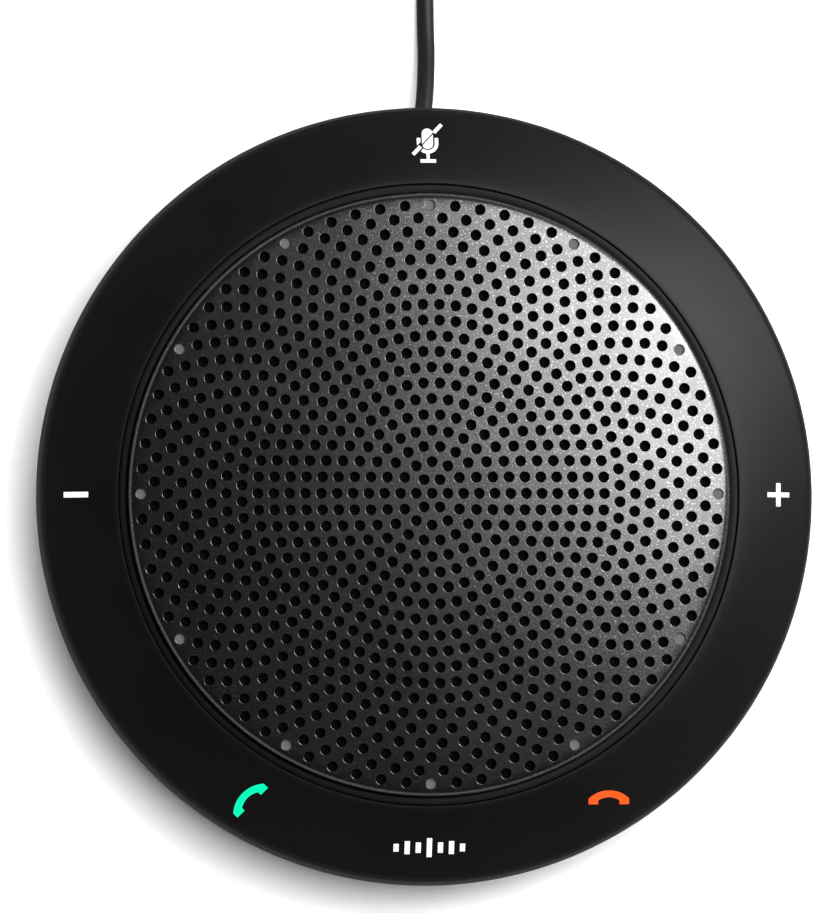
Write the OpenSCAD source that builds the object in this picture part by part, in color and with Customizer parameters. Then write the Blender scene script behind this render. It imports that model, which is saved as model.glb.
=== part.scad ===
// Round table-top conference speakerphone with a wired plug.
// Millimetres. Origin at the centre of the foot on the table, +Z up, +Y to the rear, where the cord leaves.

/* [Overall] */
// Widest diameter, at the foot of the top ring's side band
body_d = 120; // [110:1:150]
// Height from the table to the crown of the grille
overall_h = 33; // [32:0.5:42]
// Thickness of the moulded walls
wall = 2; // [1.7:0.1:2.4]

/* [Base and foot] */
// How far the rubber foot stands proud of the base plate
foot_proud = 0.8; // [0.5:0.1:1.2]
// Width of the rubber foot ring
foot_w = 5; // [4:0.5:5.5]
// Depth of the rubber foot's seat in the base plate
foot_seat = 1; // [0.6:0.1:1.4]
// Thickness of the base plate's rim
base_t = 4.2; // [4.2:0.1:5.2]
// Step in from the widest diameter to the edge of the base plate
base_inset = 13; // [11:0.5:15]

/* [Cord groove] */
// Height of the groove that the cord winds into
groove_h = 6.5; // [6:0.1:7.8]
// Depth of the groove
groove_depth = 6; // [4:0.5:6.5]

/* [Top ring] */
// Width of the top, from the grille's edge to the widest diameter
ring_w = 13.8; // [12:0.2:17]
// Fall of the ring's top face from its inner lip to its outer corner
ring_fall = 4.8; // [4:0.1:5.5]
// Height of the steep side band under the corner
band_h = 3.2; // [2.5:0.1:3.8]
// How far the side band widens from the corner down to the widest diameter
band_draft = 0.8; // [0.4:0.1:1.2]
// Distance of the key symbols from the widest diameter
icon_inset = 6; // [5:0.1:6.5]
// Depth of the key symbols' inlays
icon_t = 0.4; // [0.3:0.1:0.6]

/* [Grille] */
// Rise of the grille's crown above the start of its rolled edge
dome_rise = 2.4; // [1.8:0.1:2.6]
// Thickness of the grille's sheet
grille_t = 0.8; // [0.6:0.1:1]
// Radius of the grille's rolled edge
edge_roll = 1; // [0.8:0.1:1.2]
// How far the grille's rolled edge stands above the ring's inner lip
grille_proud = 0.8; // [0.5:0.1:1.2]
// Spacing of the inner rings of holes
hole_pitch = 2.41; // [2.2:0.01:2.8]
// Spacing of neighbouring holes in the outer, fanned rings
fan_pitch = 2.69; // [2.6:0.01:2.8]
// Diameter of one hole
hole_d = 1.65; // [1.4:0.05:1.8]
// Width of the trim ring between the grille and the top ring
trim_w = 0.6; // [0.4:0.1:0.7]

/* [Speaker] */
// Diameter of the speaker's flange
speaker_d = 59; // [50:1:64]
// Width of the surround's roll
surround_w = 4; // [3:0.2:5]
// Outer diameter of the voice coil
coil_d = 19.9; // [18:0.1:22]
// Diameter of the magnet
magnet_d = 38; // [36:1:44]
// Thickness of the magnet
magnet_t = 4; // [3:0.5:4.5]
// Travel of the cone each way from rest
cone_travel = 0.8; // [0.5:0.1:1]

/* [Boards] */
// Thickness of the main circuit board
board_t = 1.2; // [1:0.1:1.6]
// Height of the main board's underside above the base plate's rim
board_gap = 0.8; // [0.6:0.1:1.2]
// Diameter of the headset jack's bore
jack_d = 3.6; // [3.5:0.05:3.7]
// Length of the headset jack's bore
jack_len = 14; // [13:0.5:15]

/* [Stand] */
// Width of the fold-out stand
stand_w = 40; // [32:1:42]
// Length of the stand from its pin to its free end
stand_len = 28.6; // [22:0.5:30]
// Thickness of the stand
stand_t = 2.2; // [1.8:0.1:2.4]
// Diameter of the stand's pin
pin_d = 1.5; // [1.2:0.1:1.6]

/* [Cord and plug] */
// Diameter of the cord
cord_d = 2.7; // [2.4:0.1:3]
// Length of the strain relief outside the spool
relief_len = 12; // [8:0.5:12]
// Length of the plug's moulded grip
grip_len = 22; // [18:1:26]

/* [Hidden] */
$fn = 64;

// Clearances
e = 0.01;
gap = 0.3;
pin_gap = 0.05;
tip_gap = 0.05;
screw_gap = 0.15;

// Radii, from the outside in
body_r = body_d / 2;
corner_r = body_r - band_draft;
grille_r = body_r - ring_w;
trim_r = grille_r + 0.5;
lip_r = trim_r + trim_w + gap;
icon_r = body_r - icon_inset;
base_r = body_r - base_inset;
spool_r = base_r - groove_depth;
spool_in_r = spool_r - wall;
bowl_r = base_r + 2;
skirt_r = corner_r - wall;
spool_boss_r = spool_in_r - 2.4;
spool_boss_w = 2.6;
floor_in_r = spool_boss_r - spool_boss_w - 0.5;

// Heights, from the table up
base_z = foot_proud;
skin_z = base_z + wall;
base_top = base_z + base_t;
bowl_z = base_top + groove_h;
bowl_floor = bowl_z + wall;
board_z = base_top + board_gap;
board_top = board_z + board_t;
cord_z = board_top + cord_d / 2 + 0.05;

// Heights, from the crown of the grille down
dome_z = overall_h - dome_rise;
lip_z = dome_z - edge_roll - grille_proud;
corner_z = lip_z - ring_fall;
rim_z = corner_z - band_h;
seam = 0.5;
case_top = rim_z - seam;
baffle_t = 1.8;
baffle_top = lip_z - 2.6;
baffle_z = baffle_top - baffle_t;

// ---- profiles -------------------------------------------------------------------------------

// Height of the ring's top face, and of the grille's outer face, at radius r
function ring_top(r) = lip_z - ring_fall * pow((r - lip_r) / (corner_r - lip_r), 1.25);
function dome(r) = overall_h - dome_rise * pow(r / (grille_r - edge_roll), 2);
function reversed(p) = [for (i = [len(p) - 1:-1:0]) p[i]];
ring_steps = [for (i = [0:8]) lip_r + (corner_r - lip_r) * i / 8];
dome_steps = [for (i = [0:7]) (grille_r - edge_roll) * i / 7];

// Twelve light tips stand in every sixth hole of the outermost ring
hex_rings = 12;
tip_count = 12;
fan_count = 6 * hex_rings;
edge_land = 1.95;
hex_r = hex_rings * hole_pitch;
function next_ring(r) = r + sqrt(fan_pitch * fan_pitch - pow(PI * r / fan_count, 2));
function last_ring(r) = next_ring(r) > grille_r - edge_land ? r : last_ring(next_ring(r));
tip_r = last_ring(hex_r);
tip_d = hole_d - tip_gap;

module at(r, a, z = 0) {
    rotate(a) translate([r, 0, z]) children();
}

module around(n, r, first = 0) {
    for (i = [0:n - 1]) at(r, first + 360 * i / n) children();
}

module tube(r_out, r_in, z0, z1) {
    translate([0, 0, z0]) difference() {
        cylinder(r = r_out, h = z1 - z0);
        translate([0, 0, -1]) cylinder(r = r_in, h = z1 - z0 + 2);
    }
}

module disc(r, z0, z1) {
    translate([0, 0, z0]) cylinder(r = r, h = z1 - z0);
}

module block(x0, x1, y0, y1, z0, z1) {
    translate([x0, y0, z0]) cube([x1 - x0, y1 - y0, z1 - z0]);
}

// A pan-head screw pointing down, with its head's seat at z = 0
module screw(head_r, head_h, r, l) {
    cylinder(r = head_r, h = head_h);
    translate([0, 0, -l]) cylinder(r = r, h = l + head_h / 2);
}

// ---- top ring and its key symbols -----------------------------------------------------------

module ring_body() {
    rotate_extrude() polygon(concat(
        [for (r = ring_steps) [r, ring_top(r)]],
        [[body_r, rim_z], [skirt_r, rim_z], [skirt_r, ring_top(skirt_r) - wall]],
        [for (r = reversed(ring_steps)) if (r > lip_r + wall && r < skirt_r - 0.5) [r, ring_top(r) - wall]],
        [[lip_r + wall, baffle_top], [lip_r, baffle_top]]));
}

module ring_skin(up) {
    rotate_extrude() polygon(concat(
        [for (r = ring_steps) [r, ring_top(r) + up]],
        [for (r = reversed(ring_steps)) [r, ring_top(r) - icon_t]]));
}

module pill(w, h) {
    r = min(w, h) / 2;
    hull() {
        translate([-w / 2 + r, -h / 2 + r]) circle(r = r, $fn = 32);
        translate([w / 2 - r, h / 2 - r]) circle(r = r, $fn = 32);
    }
}

module bar(a, b, w) {
    l = norm(b - a);
    translate((a + b) / 2) rotate(atan2(b[1] - a[1], b[0] - a[0])) square([l, w], center = true);
}

// Microphone on a foot, with a stroke across it
module mute_2d() {
    low = [-2.3, -1.8];
    high = [2.25, 3];
    along = (high - low) / norm(high - low);
    stroke = 0.58;
    difference() {
        union() {
            translate([0, -0.05]) circle(r = 0.86);
            translate([0, 1.5]) circle(r = 0.86);
            translate([-0.86, -0.05]) square([1.72, 1.55]);
        }
        bar(low + along * 1.6, high - along * 1.6, 0.19);
    }
    difference() {
        union() {
            circle(r = 1.66);
            translate([-1.66, 0]) square([3.32, 0.85]);
        }
        circle(r = 1.09);
        translate([-1.09, 0]) square([2.18, 2]);
        translate([-2, 0.85]) square([4, 2]);
        bar(low, high, 1);
    }
    translate([-0.24, -2.7]) square([0.48, 1.15]);
    translate([-1.2, -3.1]) square([2.4, 0.55]);
    bar(low, low + along * 1.75, stroke);
    bar(high - along * 1.8, high, stroke);
}

// Telephone handset lying on its ends
module handset_2d() {
    translate([0, 1.05]) difference() {
        intersection() {
            translate([0, -4.75]) circle(r = 4.75);
            translate([-3.2, -2.14]) square([6.4, 2.2]);
        }
        intersection() {
            translate([0, -4.21]) circle(r = 3.16);
            translate([-3, -1.54]) square([6, 2]);
        }
        translate([-1.69, -3]) square([3.38, 1.47]);
    }
}

module plus_2d() {
    difference() {
        square([3.6, 3.6], center = true);
        for (a = [45:90:315]) rotate(a) translate([1.8 * sqrt(2) / 2 + 0.53, 0]) rotate(45)
            square([1.8, 1.8], center = true);
    }
}

module mark_2d() {
    heights = [1.2, 2, 1.6, 2.9, 1.6, 2, 1.2];
    for (i = [0:6]) translate([(i - 3) * 1.7, 0]) square([0.8, heights[i]], center = true);
}

answer_a = 239;
end_a = 300.8;

// One symbol's outline, where it stands on the ring
module symbol(name) {
    if (name == "mute") translate([0, icon_r]) mute_2d();
    if (name == "volume_up") translate([icon_r, 0]) plus_2d();
    if (name == "volume_down") translate([-icon_r, 0]) square([3.7, 0.85], center = true);
    if (name == "answer") rotate(answer_a) translate([icon_r, 0]) rotate(45 - answer_a) handset_2d();
    if (name == "end") rotate(end_a) translate([icon_r, 0]) rotate(-end_a) handset_2d();
    if (name == "mark") translate([0, -icon_r]) mark_2d();
}

module inlay(name) {
    intersection() {
        translate([0, 0, rim_z]) linear_extrude(lip_z - rim_z + 1) symbol(name);
        ring_skin(0);
    }
}

module touch_ring() {
    color([0.09, 0.09, 0.1]) difference() {
        ring_body();
        for (name = ["mute", "volume_up", "volume_down", "answer", "end", "mark"]) intersection() {
            translate([0, 0, rim_z]) linear_extrude(lip_z - rim_z + 2) symbol(name);
            ring_skin(1);
        }
    }
}

module icon_mute() {
    color("white") inlay("mute");
}

module icon_volume_up() {
    color("white") inlay("volume_up");
}

module icon_volume_down() {
    color("white") inlay("volume_down");
}

module icon_answer() {
    color([0, 0.95, 0.7]) inlay("answer");
}

module icon_end() {
    color([1, 0.35, 0.12]) inlay("end");
}

module front_mark() {
    color("white") inlay("mark");
}

// Touch electrodes, a thin film glued under the ring's top face
module touch_film() {
    film = 0.3;
    steps = [for (r = ring_steps) if (r > lip_r + wall + 0.5 && r < skirt_r - 1) r];
    color([0.75, 0.5, 0.2]) rotate_extrude() polygon(concat(
        [for (r = steps) [r, ring_top(r) - wall]],
        [for (r = reversed(steps)) [r, ring_top(r) - wall - film]]));
}

// ---- grille, cloth and light ring -----------------------------------------------------------

cloth_t = 0.25;
cloth_r = tip_r + 1.1;
guide_r = tip_r + 1.1;
guide_in_r = tip_r - 1.8;
led_board_t = 0.8;
led_h = 0.7;
guide_z = baffle_top + led_board_t + led_h + 0.1;

// Sheet-metal dome with a rolled edge and a skirt that stands on the baffle
module speaker_grille() {
    roll = [for (a = [60, 30, 0]) [grille_r - edge_roll * (1 - cos(a)), dome_z - edge_roll * (1 - sin(a))]];
    under = [for (r = reversed(dome_steps)) if (r < cloth_r) [r, dome(r) - grille_t]];
    color([0.35, 0.36, 0.38]) difference() {
        rotate_extrude() polygon(concat(
            [for (r = dome_steps) [r, dome(r)]], roll,
            [[grille_r, baffle_top], [grille_r - grille_t, baffle_top],
             [grille_r - grille_t, dome(cloth_r) - grille_t]], under));
        around(tip_count, tip_r) disc(hole_d / 2, dome(tip_r) - 3, overall_h);
    }
}

module acoustic_cloth() {
    steps = concat([for (r = dome_steps) if (r < cloth_r - 1) r], [cloth_r]);
    color([0.05, 0.05, 0.05]) difference() {
        rotate_extrude() polygon(concat(
            [for (r = steps) [r, dome(r) - grille_t - 0.05]],
            [for (r = reversed(steps)) [r, dome(r) - grille_t - 0.05 - cloth_t]]));
        around(tip_count, tip_r) disc(hole_d / 2, dome(tip_r) - 5, overall_h);
    }
}

module grille_trim_ring() {
    color([0.2, 0.2, 0.21]) tube(trim_r + trim_w, trim_r, baffle_top, lip_z - 0.7);
}

module light_guide() {
    color([0.85, 0.87, 0.86, 0.7]) union() {
        tube(guide_r, guide_in_r, guide_z, guide_z + 1.4);
        around(tip_count, tip_r) disc(tip_d / 2, guide_z + 1, dome(tip_r) - 0.35);
    }
}

module led_board() {
    color([0.1, 0.35, 0.2]) tube(guide_r, guide_in_r, baffle_top, baffle_top + led_board_t);
}

module leds() {
    color([0.95, 0.9, 0.6]) around(tip_count, tip_r)
        block(-0.7, 0.7, -1, 1, baffle_top + led_board_t, baffle_top + led_board_t + led_h);
}

// ---- baffle and speaker ---------------------------------------------------------------------

speaker_r = speaker_d / 2;
frame_r = speaker_r - 4.3;
cone_r = frame_r - 0.2 - surround_w;
ear_r = speaker_r + 0.9;
gasket_t = 0.5;
flange_z = baffle_top + gasket_t;
flange_t = 0.8;
flange_top = flange_z + flange_t;
basket_z = flange_z - 7.7;
seat_r = magnet_d / 2 - 3;
plate_t = 1.4;
plate_z = basket_z - 0.8 - plate_t;
magnet_z = plate_z - magnet_t;
yoke_t = 1.6;
yoke_z = magnet_z - yoke_t;
coil_r = coil_d / 2;
coil_t = 0.6;
coil_top = flange_top - 4.6;
coil_gap = 0.35;
spider_z = basket_z + 1.2;
post_r = spool_r + 4.2;
post_w = 3;
boss_h = 2;
baffle_screw_r = 1.1;
speaker_screw_r = 0.9;
mic_at = (speaker_r + guide_in_r) / 2 + 0.4;
mic_angle = 300;
mic_r = 2.2;
boot_r = 2.8;
flex_r = floor_in_r - 0.9;
flex_w = 6;
led_flex_at = 200;

// Frame that carries the speaker, the grille, the light ring and the top ring
module baffle() {
    color([0.12, 0.12, 0.13]) difference() {
        union() {
            tube(lip_r + wall, frame_r + gap, baffle_z, baffle_top);
            around(4, post_r, 45) disc(post_w + 0.6, baffle_z - boss_h, baffle_z + e);
            around(4, ear_r, 0) disc(2.6, baffle_z - 3, baffle_z + e);
        }
        around(4, post_r, 45) union() {
            disc(baffle_screw_r + screw_gap, baffle_z - boss_h - 1, baffle_top + 1);
            disc(2.3, baffle_top - 1.6, baffle_top + 1);
        }
        around(4, ear_r, 0) disc(speaker_screw_r, baffle_z - 2.6, baffle_top + 1);
        at(mic_at, mic_angle) disc(boot_r, baffle_z - 1, baffle_top + 1);
        at(flex_r, led_flex_at) block(-0.4, 0.7, -flex_w / 2 - gap, flex_w / 2 + gap, baffle_z - 1, baffle_top + 1);
    }
}

module baffle_screws() {
    color([0.6, 0.6, 0.62]) around(4, post_r, 45) translate([0, 0, baffle_top - 1.6])
        screw(2.1, 1.4, baffle_screw_r, 7);
}

module speaker_gasket() {
    color([0.08, 0.08, 0.08]) tube(speaker_r - 0.8, frame_r + 0.6, baffle_top, flange_z);
}

// Pressed steel basket with four windows and four screw ears
module speaker_basket() {
    t = 0.9;
    window_w = 9;
    color([0.3, 0.3, 0.32]) difference() {
        union() {
            rotate_extrude() polygon([
                [speaker_r, flange_top], [speaker_r, flange_z], [frame_r, flange_z],
                [frame_r, flange_z - 2], [seat_r + t + 0.4, basket_z], [seat_r + t + 0.4, basket_z - 0.8],
                [coil_r + coil_gap, basket_z - 0.8], [coil_r + coil_gap, basket_z],
                [seat_r - 2.5, basket_z], [seat_r - 2.5, spider_z], [seat_r, spider_z],
                [seat_r + 0.3, basket_z + 1.6], [frame_r - t, flange_z - 2], [frame_r - t, flange_top]]);
            around(4, ear_r, 0) disc(2.8, flange_z, flange_top);
        }
        around(4, ear_r, 0) disc(speaker_screw_r + screw_gap, flange_z - 1, flange_top + 1);
        around(4, (seat_r + frame_r) / 2 + 1, 45)
            block(-4.5, 6, -window_w / 2, window_w / 2, basket_z + 2.2, flange_z - 1.6);
    }
}

module speaker_screws() {
    color([0.6, 0.6, 0.62]) around(4, ear_r, 0) translate([0, 0, flange_top])
        screw(1.8, 1, speaker_screw_r, 4.5);
}

module speaker_top_plate() {
    color([0.65, 0.65, 0.66]) tube(seat_r, coil_r + coil_gap, plate_z, plate_z + plate_t);
}

module speaker_magnet() {
    color([0.16, 0.16, 0.17]) tube(magnet_d / 2, coil_r + 2.1, magnet_z, plate_z);
}

module speaker_yoke() {
    color([0.65, 0.65, 0.66]) union() {
        disc(magnet_d / 2 - 1, yoke_z, magnet_z);
        disc(coil_r - coil_t - coil_gap, magnet_z - e, plate_z + plate_t);
    }
}

module voice_coil() {
    color([0.75, 0.42, 0.2]) tube(coil_r, coil_r - coil_t, magnet_z + 1.8, coil_top);
}

module speaker_cone() {
    t = 0.5;
    color([0.1, 0.1, 0.11]) rotate_extrude() polygon([
        [cone_r, flange_top], [coil_r, coil_top - 0.6], [coil_r, coil_top - 0.6 - t],
        [coil_r + 0.6, coil_top - 0.7 - t], [cone_r, flange_top - 1.2 * t]]);
}

module dust_cap() {
    rise = 2.4;
    t = 0.4;
    steps = [for (i = [0:5]) coil_r * i / 5];
    color([0.1, 0.1, 0.11]) rotate_extrude() polygon(concat(
        [for (r = steps) [r, coil_top + t + rise * (1 - pow(r / coil_r, 2))]],
        [for (r = reversed(steps)) [r, coil_top + rise * (1 - pow(r / coil_r, 2))]]));
}

// Corrugated cloth disc that centres the coil
module speaker_spider() {
    t = 0.35;
    waves = 6;
    a = coil_r;
    b = seat_r - 0.6;
    steps = [for (i = [0:2 * waves]) [a + (b - a) * i / (2 * waves), i % 2 == 0 ? 0 : 0.5]];
    color([0.8, 0.7, 0.4]) rotate_extrude() polygon(concat(
        [for (p = steps) [p[0], spider_z + p[1] + t]],
        [for (p = reversed(steps)) [p[0], spider_z + p[1]]]));
}

// Half-roll rubber surround from the cone's rim to the basket's flange
module speaker_surround() {
    t = 0.4;
    a = cone_r;
    b = frame_r - 0.2;
    mid = (a + b) / 2;
    roll = (b - a) / 2;
    arc = [for (i = [0:8]) 180 - 22.5 * i];
    color([0.07, 0.07, 0.07]) rotate_extrude() polygon(concat(
        [[a - 1, flange_top], [a - 1, flange_top + t]],
        [for (i = arc) [mid + roll * cos(i), flange_top + t + 0.95 * roll * sin(i)]],
        [[b + 1.6, flange_top + t], [b + 1.6, flange_top]],
        [for (i = reversed(arc)) [mid + (roll - t) * cos(i), flange_top + 0.95 * (roll - t / 2) * sin(i)]]));
}

// Two wires from the board's header up to the basket
module speaker_leads() {
    x = frame_r + 1.6;
    color([0.7, 0.1, 0.1]) for (y = [-0.8, 0.8]) rotate(235)
        swept([[23.7, y, board_top + 2.4], [25.5, y, board_top + 3.6], [x, y, board_top + 7],
               [x, y, flange_z - 5], [x, y, baffle_z - 0.4]], 0.4, [0, 1, 0]);
}

module microphone() {
    color([0.7, 0.7, 0.72]) at(mic_at, mic_angle) disc(mic_r, baffle_z - 1, baffle_top - 0.4);
}

module mic_boot() {
    color([0.08, 0.08, 0.08]) at(mic_at, mic_angle) difference() {
        union() {
            disc(boot_r, baffle_z - 1.6, baffle_top + e);
            disc(boot_r + 0.7, baffle_top, baffle_top + 0.6);
        }
        disc(mic_r, baffle_z - 1, baffle_top - 0.4);
        disc(0.9, baffle_top - 1, baffle_top + 1);
    }
}

// Flexible strip from the main board up to the light ring's board
module led_flex() {
    t = 0.3;
    reach = sqrt(pow(guide_in_r, 2) - pow(flex_w / 2, 2));
    color([0.8, 0.5, 0.15]) at(flex_r, led_flex_at) union() {
        block(0, t, -flex_w / 2, flex_w / 2, board_top, baffle_top + t);
        block(0, reach - flex_r, -flex_w / 2, flex_w / 2, baffle_top, baffle_top + t);
    }
}

// ---- main board -----------------------------------------------------------------------------

board_r = spool_in_r - 3;
board_post_r = board_r - 3.5;
board_screw_r = 0.9;
board_posts = [0, 180, 270];
header_y = board_r - 6;

module main_board() {
    color([0.08, 0.3, 0.16]) difference() {
        disc(board_r, board_z, board_top);
        around(4, spool_boss_r, 45) disc(spool_boss_w + 0.5, board_z - 1, board_top + 1);
        for (a = board_posts) at(board_post_r, a) disc(board_screw_r + screw_gap, board_z - 1, board_top + 1);
    }
}

module board_chips() {
    color([0.1, 0.1, 0.1]) {
        block(-5, 5, -4, 6, board_top, board_top + 1);
        block(9, 15, 0, 6, board_top, board_top + 0.9);
        block(-17, -10, -8, -1, board_top, board_top + 1);
        block(-3, 2, -16, -11, board_top, board_top + 0.9);
        block(11, 14.2, -9, -6.5, board_top, board_top + 0.8);
    }
}

module board_capacitors() {
    spots = [[24, -10], [24, -17], [-25, 8], [18, -23]];
    color([0.75, 0.75, 0.78]) for (p = spots) translate([p[0], p[1], 0]) disc(2.5, board_top, board_top + 4.2);
}

module board_headers() {
    color([0.85, 0.83, 0.75]) {
        block(-4, 4, header_y - 5, header_y, board_top, board_top + 3.4);
        rotate(235) block(20, 23.5, -3, 3, board_top, board_top + 3.2);
        rotate(led_flex_at) block(flex_r - 3, flex_r, -4, 4, board_top, board_top + 1.6);
        rotate(jack_a) block(jack_flex_r - 2.6, jack_flex_r, -4, 4, board_top, board_top + 1.6);
    }
}

module board_screws() {
    color([0.6, 0.6, 0.62]) for (a = board_posts) at(board_post_r, a, board_top)
        screw(1.7, 0.9, board_screw_r, 3.4);
}

// ---- headset jack ---------------------------------------------------------------------------

jack_a = 150;
jack_half = 2.4;
jack_board_t = 0.9;
jack_z = bowl_floor + jack_board_t + jack_half;
jack_mouth = corner_r - 4.2;
jack_nose = 4;
jack_nose_r = 2.6;
jack_back = 1;
jack_flex_r = flex_r;

module along_jack(r0, r1, r) {
    rotate(jack_a) translate([r0, 0, jack_z]) rotate([0, 90, 0]) cylinder(r = r, h = r1 - r0);
}

module jack_board() {
    color([0.08, 0.3, 0.16]) rotate(jack_a)
        block(floor_in_r + 1.5, bowl_r - 1.2, -6.5, 6.5, bowl_floor, bowl_floor + jack_board_t);
}

module headset_jack() {
    color([0.07, 0.07, 0.07]) difference() {
        union() {
            rotate(jack_a) block(jack_mouth - jack_len - jack_back, jack_mouth - jack_nose, -3, 3,
                                 jack_z - jack_half, jack_z + jack_half);
            along_jack(jack_mouth - jack_nose - e, jack_mouth, jack_nose_r);
        }
        along_jack(jack_mouth - jack_len, jack_mouth + 1, jack_d / 2);
    }
}

module jack_flex() {
    t = 0.3;
    color([0.8, 0.5, 0.15]) rotate(jack_a) union() {
        block(jack_flex_r, jack_flex_r + t, -3, 3, board_top, bowl_floor + jack_board_t);
        block(jack_flex_r, floor_in_r + 1.5, -3, 3, bowl_floor + jack_board_t - t, bowl_floor + jack_board_t);
    }
}

// ---- case, spool, base and foot -------------------------------------------------------------

case_screw_r = 1.1;
bowl_steps = [for (i = [0:7]) 90 * i / 7];

// Bowl from the cord groove up to the seam under the top ring
module bowl(r0, r1, z0, z1) {
    polygon(concat([[0, z0]], [for (t = bowl_steps) [r0 + (r1 - r0) * sin(t), z1 - (z1 - z0) * cos(t)]], [[0, z1]]));
}

module bottom_case() {
    post_top = baffle_z - boss_h;
    color([0.07, 0.07, 0.075]) difference() {
        union() {
            difference() {
                rotate_extrude() bowl(bowl_r, corner_r + 0.2, bowl_z, case_top);
                rotate_extrude() bowl(bowl_r - 0.4, skirt_r - 1.4, bowl_floor, case_top + e);
                disc(floor_in_r, bowl_z - 1, case_top);
            }
            tube(skirt_r, skirt_r - 1.4 - e, case_top - 0.5, case_top + seam + 2);
            around(4, post_r, 45) disc(post_w, bowl_z + 0.5, post_top);
            around(4, spool_boss_r, 45) disc(spool_boss_w, bowl_z + 0.5, bowl_floor + 5);
            intersection() {
                along_jack(jack_mouth - 1.5, body_r, jack_nose_r + 2);
                rotate_extrude() bowl(bowl_r, corner_r + 0.2, bowl_z, case_top);
            }
        }
        around(4, post_r, 45) disc(baffle_screw_r, post_top - 5.6, post_top + 1);
        around(4, spool_boss_r, 45) disc(case_screw_r, bowl_z - 1, bowl_floor + 4);
        along_jack(jack_mouth, body_r + 1, jack_nose_r + 0.4);
        along_jack(jack_mouth - 6, jack_mouth + 1, jack_nose_r);
    }
}

// Neck that the cord winds round, clamped between the base plate and the case
module cord_spool() {
    color([0.1, 0.1, 0.1]) difference() {
        translate([0, 0, base_top]) linear_extrude(groove_h) difference() {
            union() {
                difference() {
                    circle(r = spool_r);
                    circle(r = spool_in_r);
                }
                around(4, spool_boss_r, 45) circle(r = spool_boss_w);
            }
            around(4, spool_boss_r, 45) circle(r = case_screw_r + screw_gap);
        }
        translate([0, spool_in_r - 3, cord_z]) rotate([-90, 0, 0]) cylinder(r = grommet_r, h = wall + 5);
    }
}

foot_r = base_r - 2.5;
pocket_w = stand_w + 1;
pocket_y1 = 27;
hinge_y = pocket_y1 - 3;
finger_gap = 5;
pocket_y0 = hinge_y - stand_len - finger_gap;
stand_clear = 0.2;
barrel_r = 1.3;
hinge_z = base_z + stand_clear + barrel_r;
pocket_top = hinge_z + barrel_r + 0.4;
plate_in_r = base_r - 13;
housing = 3;

module base_plate() {
    color([0.08, 0.08, 0.085]) difference() {
        union() {
            difference() {
                disc(base_r, base_z, base_top);
                disc(plate_in_r, skin_z, base_top + 1);
            }
            block(-pocket_w / 2 - housing, pocket_w / 2 + housing, pocket_y0 - 2, pocket_y1 + 2, skin_z - e, base_top);
            for (a = board_posts) at(board_post_r, a) disc(2.2, skin_z - e, board_z);
        }
        block(-pocket_w / 2, pocket_w / 2, pocket_y0, pocket_y1, base_z - 1, pocket_top);
        tube(foot_r, foot_r - foot_w, base_z - 1, base_z + foot_seat);
        translate([-pocket_w / 2 - housing + 0.5, hinge_y, hinge_z]) rotate([0, 90, 0])
            cylinder(d = pin_d, h = pocket_w + 2 * housing - 1);
        for (a = board_posts) at(board_post_r, a) disc(board_screw_r, board_z - 3.6, board_z + 1);
        around(4, spool_boss_r, 45) union() {
            disc(case_screw_r + screw_gap, base_z - 1, base_top + 1);
            disc(2.15, base_z - 1, base_z + 1.8);
        }
    }
}

module case_screws() {
    color([0.6, 0.6, 0.62]) around(4, spool_boss_r, 45) translate([0, 0, base_z + 1.8]) mirror([0, 0, 1])
        screw(1.95, 1.5, case_screw_r, bowl_floor + 3.5 - base_z - 1.8);
}

module foot_ring() {
    color([0.13, 0.13, 0.13]) tube(foot_r, foot_r - foot_w, 0, base_z + foot_seat);
}

// ---- fold-out stand -------------------------------------------------------------------------

pad_len = 5;
stand_z = base_z + stand_clear;
stand_end = hinge_y - stand_len;

module stand() {
    color([0.12, 0.12, 0.125]) difference() {
        union() {
            block(-stand_w / 2, stand_w / 2, stand_end, hinge_y, stand_z, stand_z + stand_t);
            translate([-stand_w / 2, hinge_y, hinge_z]) rotate([0, 90, 0]) cylinder(r = barrel_r, h = stand_w);
        }
        block(-12, 12, stand_end + 9, hinge_y - 6, stand_z - 1, stand_z + stand_t + 1);
        translate([-stand_w / 2 - 1, hinge_y, hinge_z]) rotate([0, 90, 0])
            cylinder(d = pin_d + 2 * pin_gap, h = stand_w + 2);
        block(-stand_w / 2 + 3, stand_w / 2 - 3, stand_end + 1.5, stand_end + 1.5 + pad_len, stand_z - 1,
              stand_z + 0.8);
    }
}

module stand_pad() {
    color([0.13, 0.13, 0.13])
        block(-stand_w / 2 + 3, stand_w / 2 - 3, stand_end + 1.5, stand_end + 1.5 + pad_len, stand_z, stand_z + 0.8);
}

module stand_pin() {
    color([0.75, 0.75, 0.77]) translate([-pocket_w / 2 - housing + 0.5, hinge_y, hinge_z]) rotate([0, 90, 0])
        cylinder(d = pin_d, h = pocket_w + 2 * housing - 1);
}

// ---- cord and plug --------------------------------------------------------------------------

grommet_r = 2.5;
cord_r = cord_d / 2;

module along_y(y0, y1, r0, r1) {
    translate([0, y0, cord_z]) rotate([-90, 0, 0]) cylinder(r1 = r0, r2 = r1, h = y1 - y0);
}

// Rubber strain relief, held by its flange inside the spool
module cord_grommet() {
    flange_r = 2.9;
    inner_y = sqrt(pow(spool_in_r, 2) - pow(flange_r, 2));
    color([0.06, 0.06, 0.06]) difference() {
        union() {
            along_y(inner_y - 1.6, inner_y, flange_r, flange_r);
            along_y(inner_y - e, spool_r + 1, grommet_r, grommet_r);
            along_y(spool_r + 1 - e, spool_r + relief_len, grommet_r, cord_r + 0.35);
        }
        along_y(inner_y - 3, spool_r + relief_len + 1, cord_r, cord_r);
    }
}

// The stretch of cord inside the housing, from the board's header to the end of the strain relief
module cord_inner() {
    color([0.06, 0.06, 0.06]) along_y(header_y, spool_r + relief_len, cord_r, cord_r);
}

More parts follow.
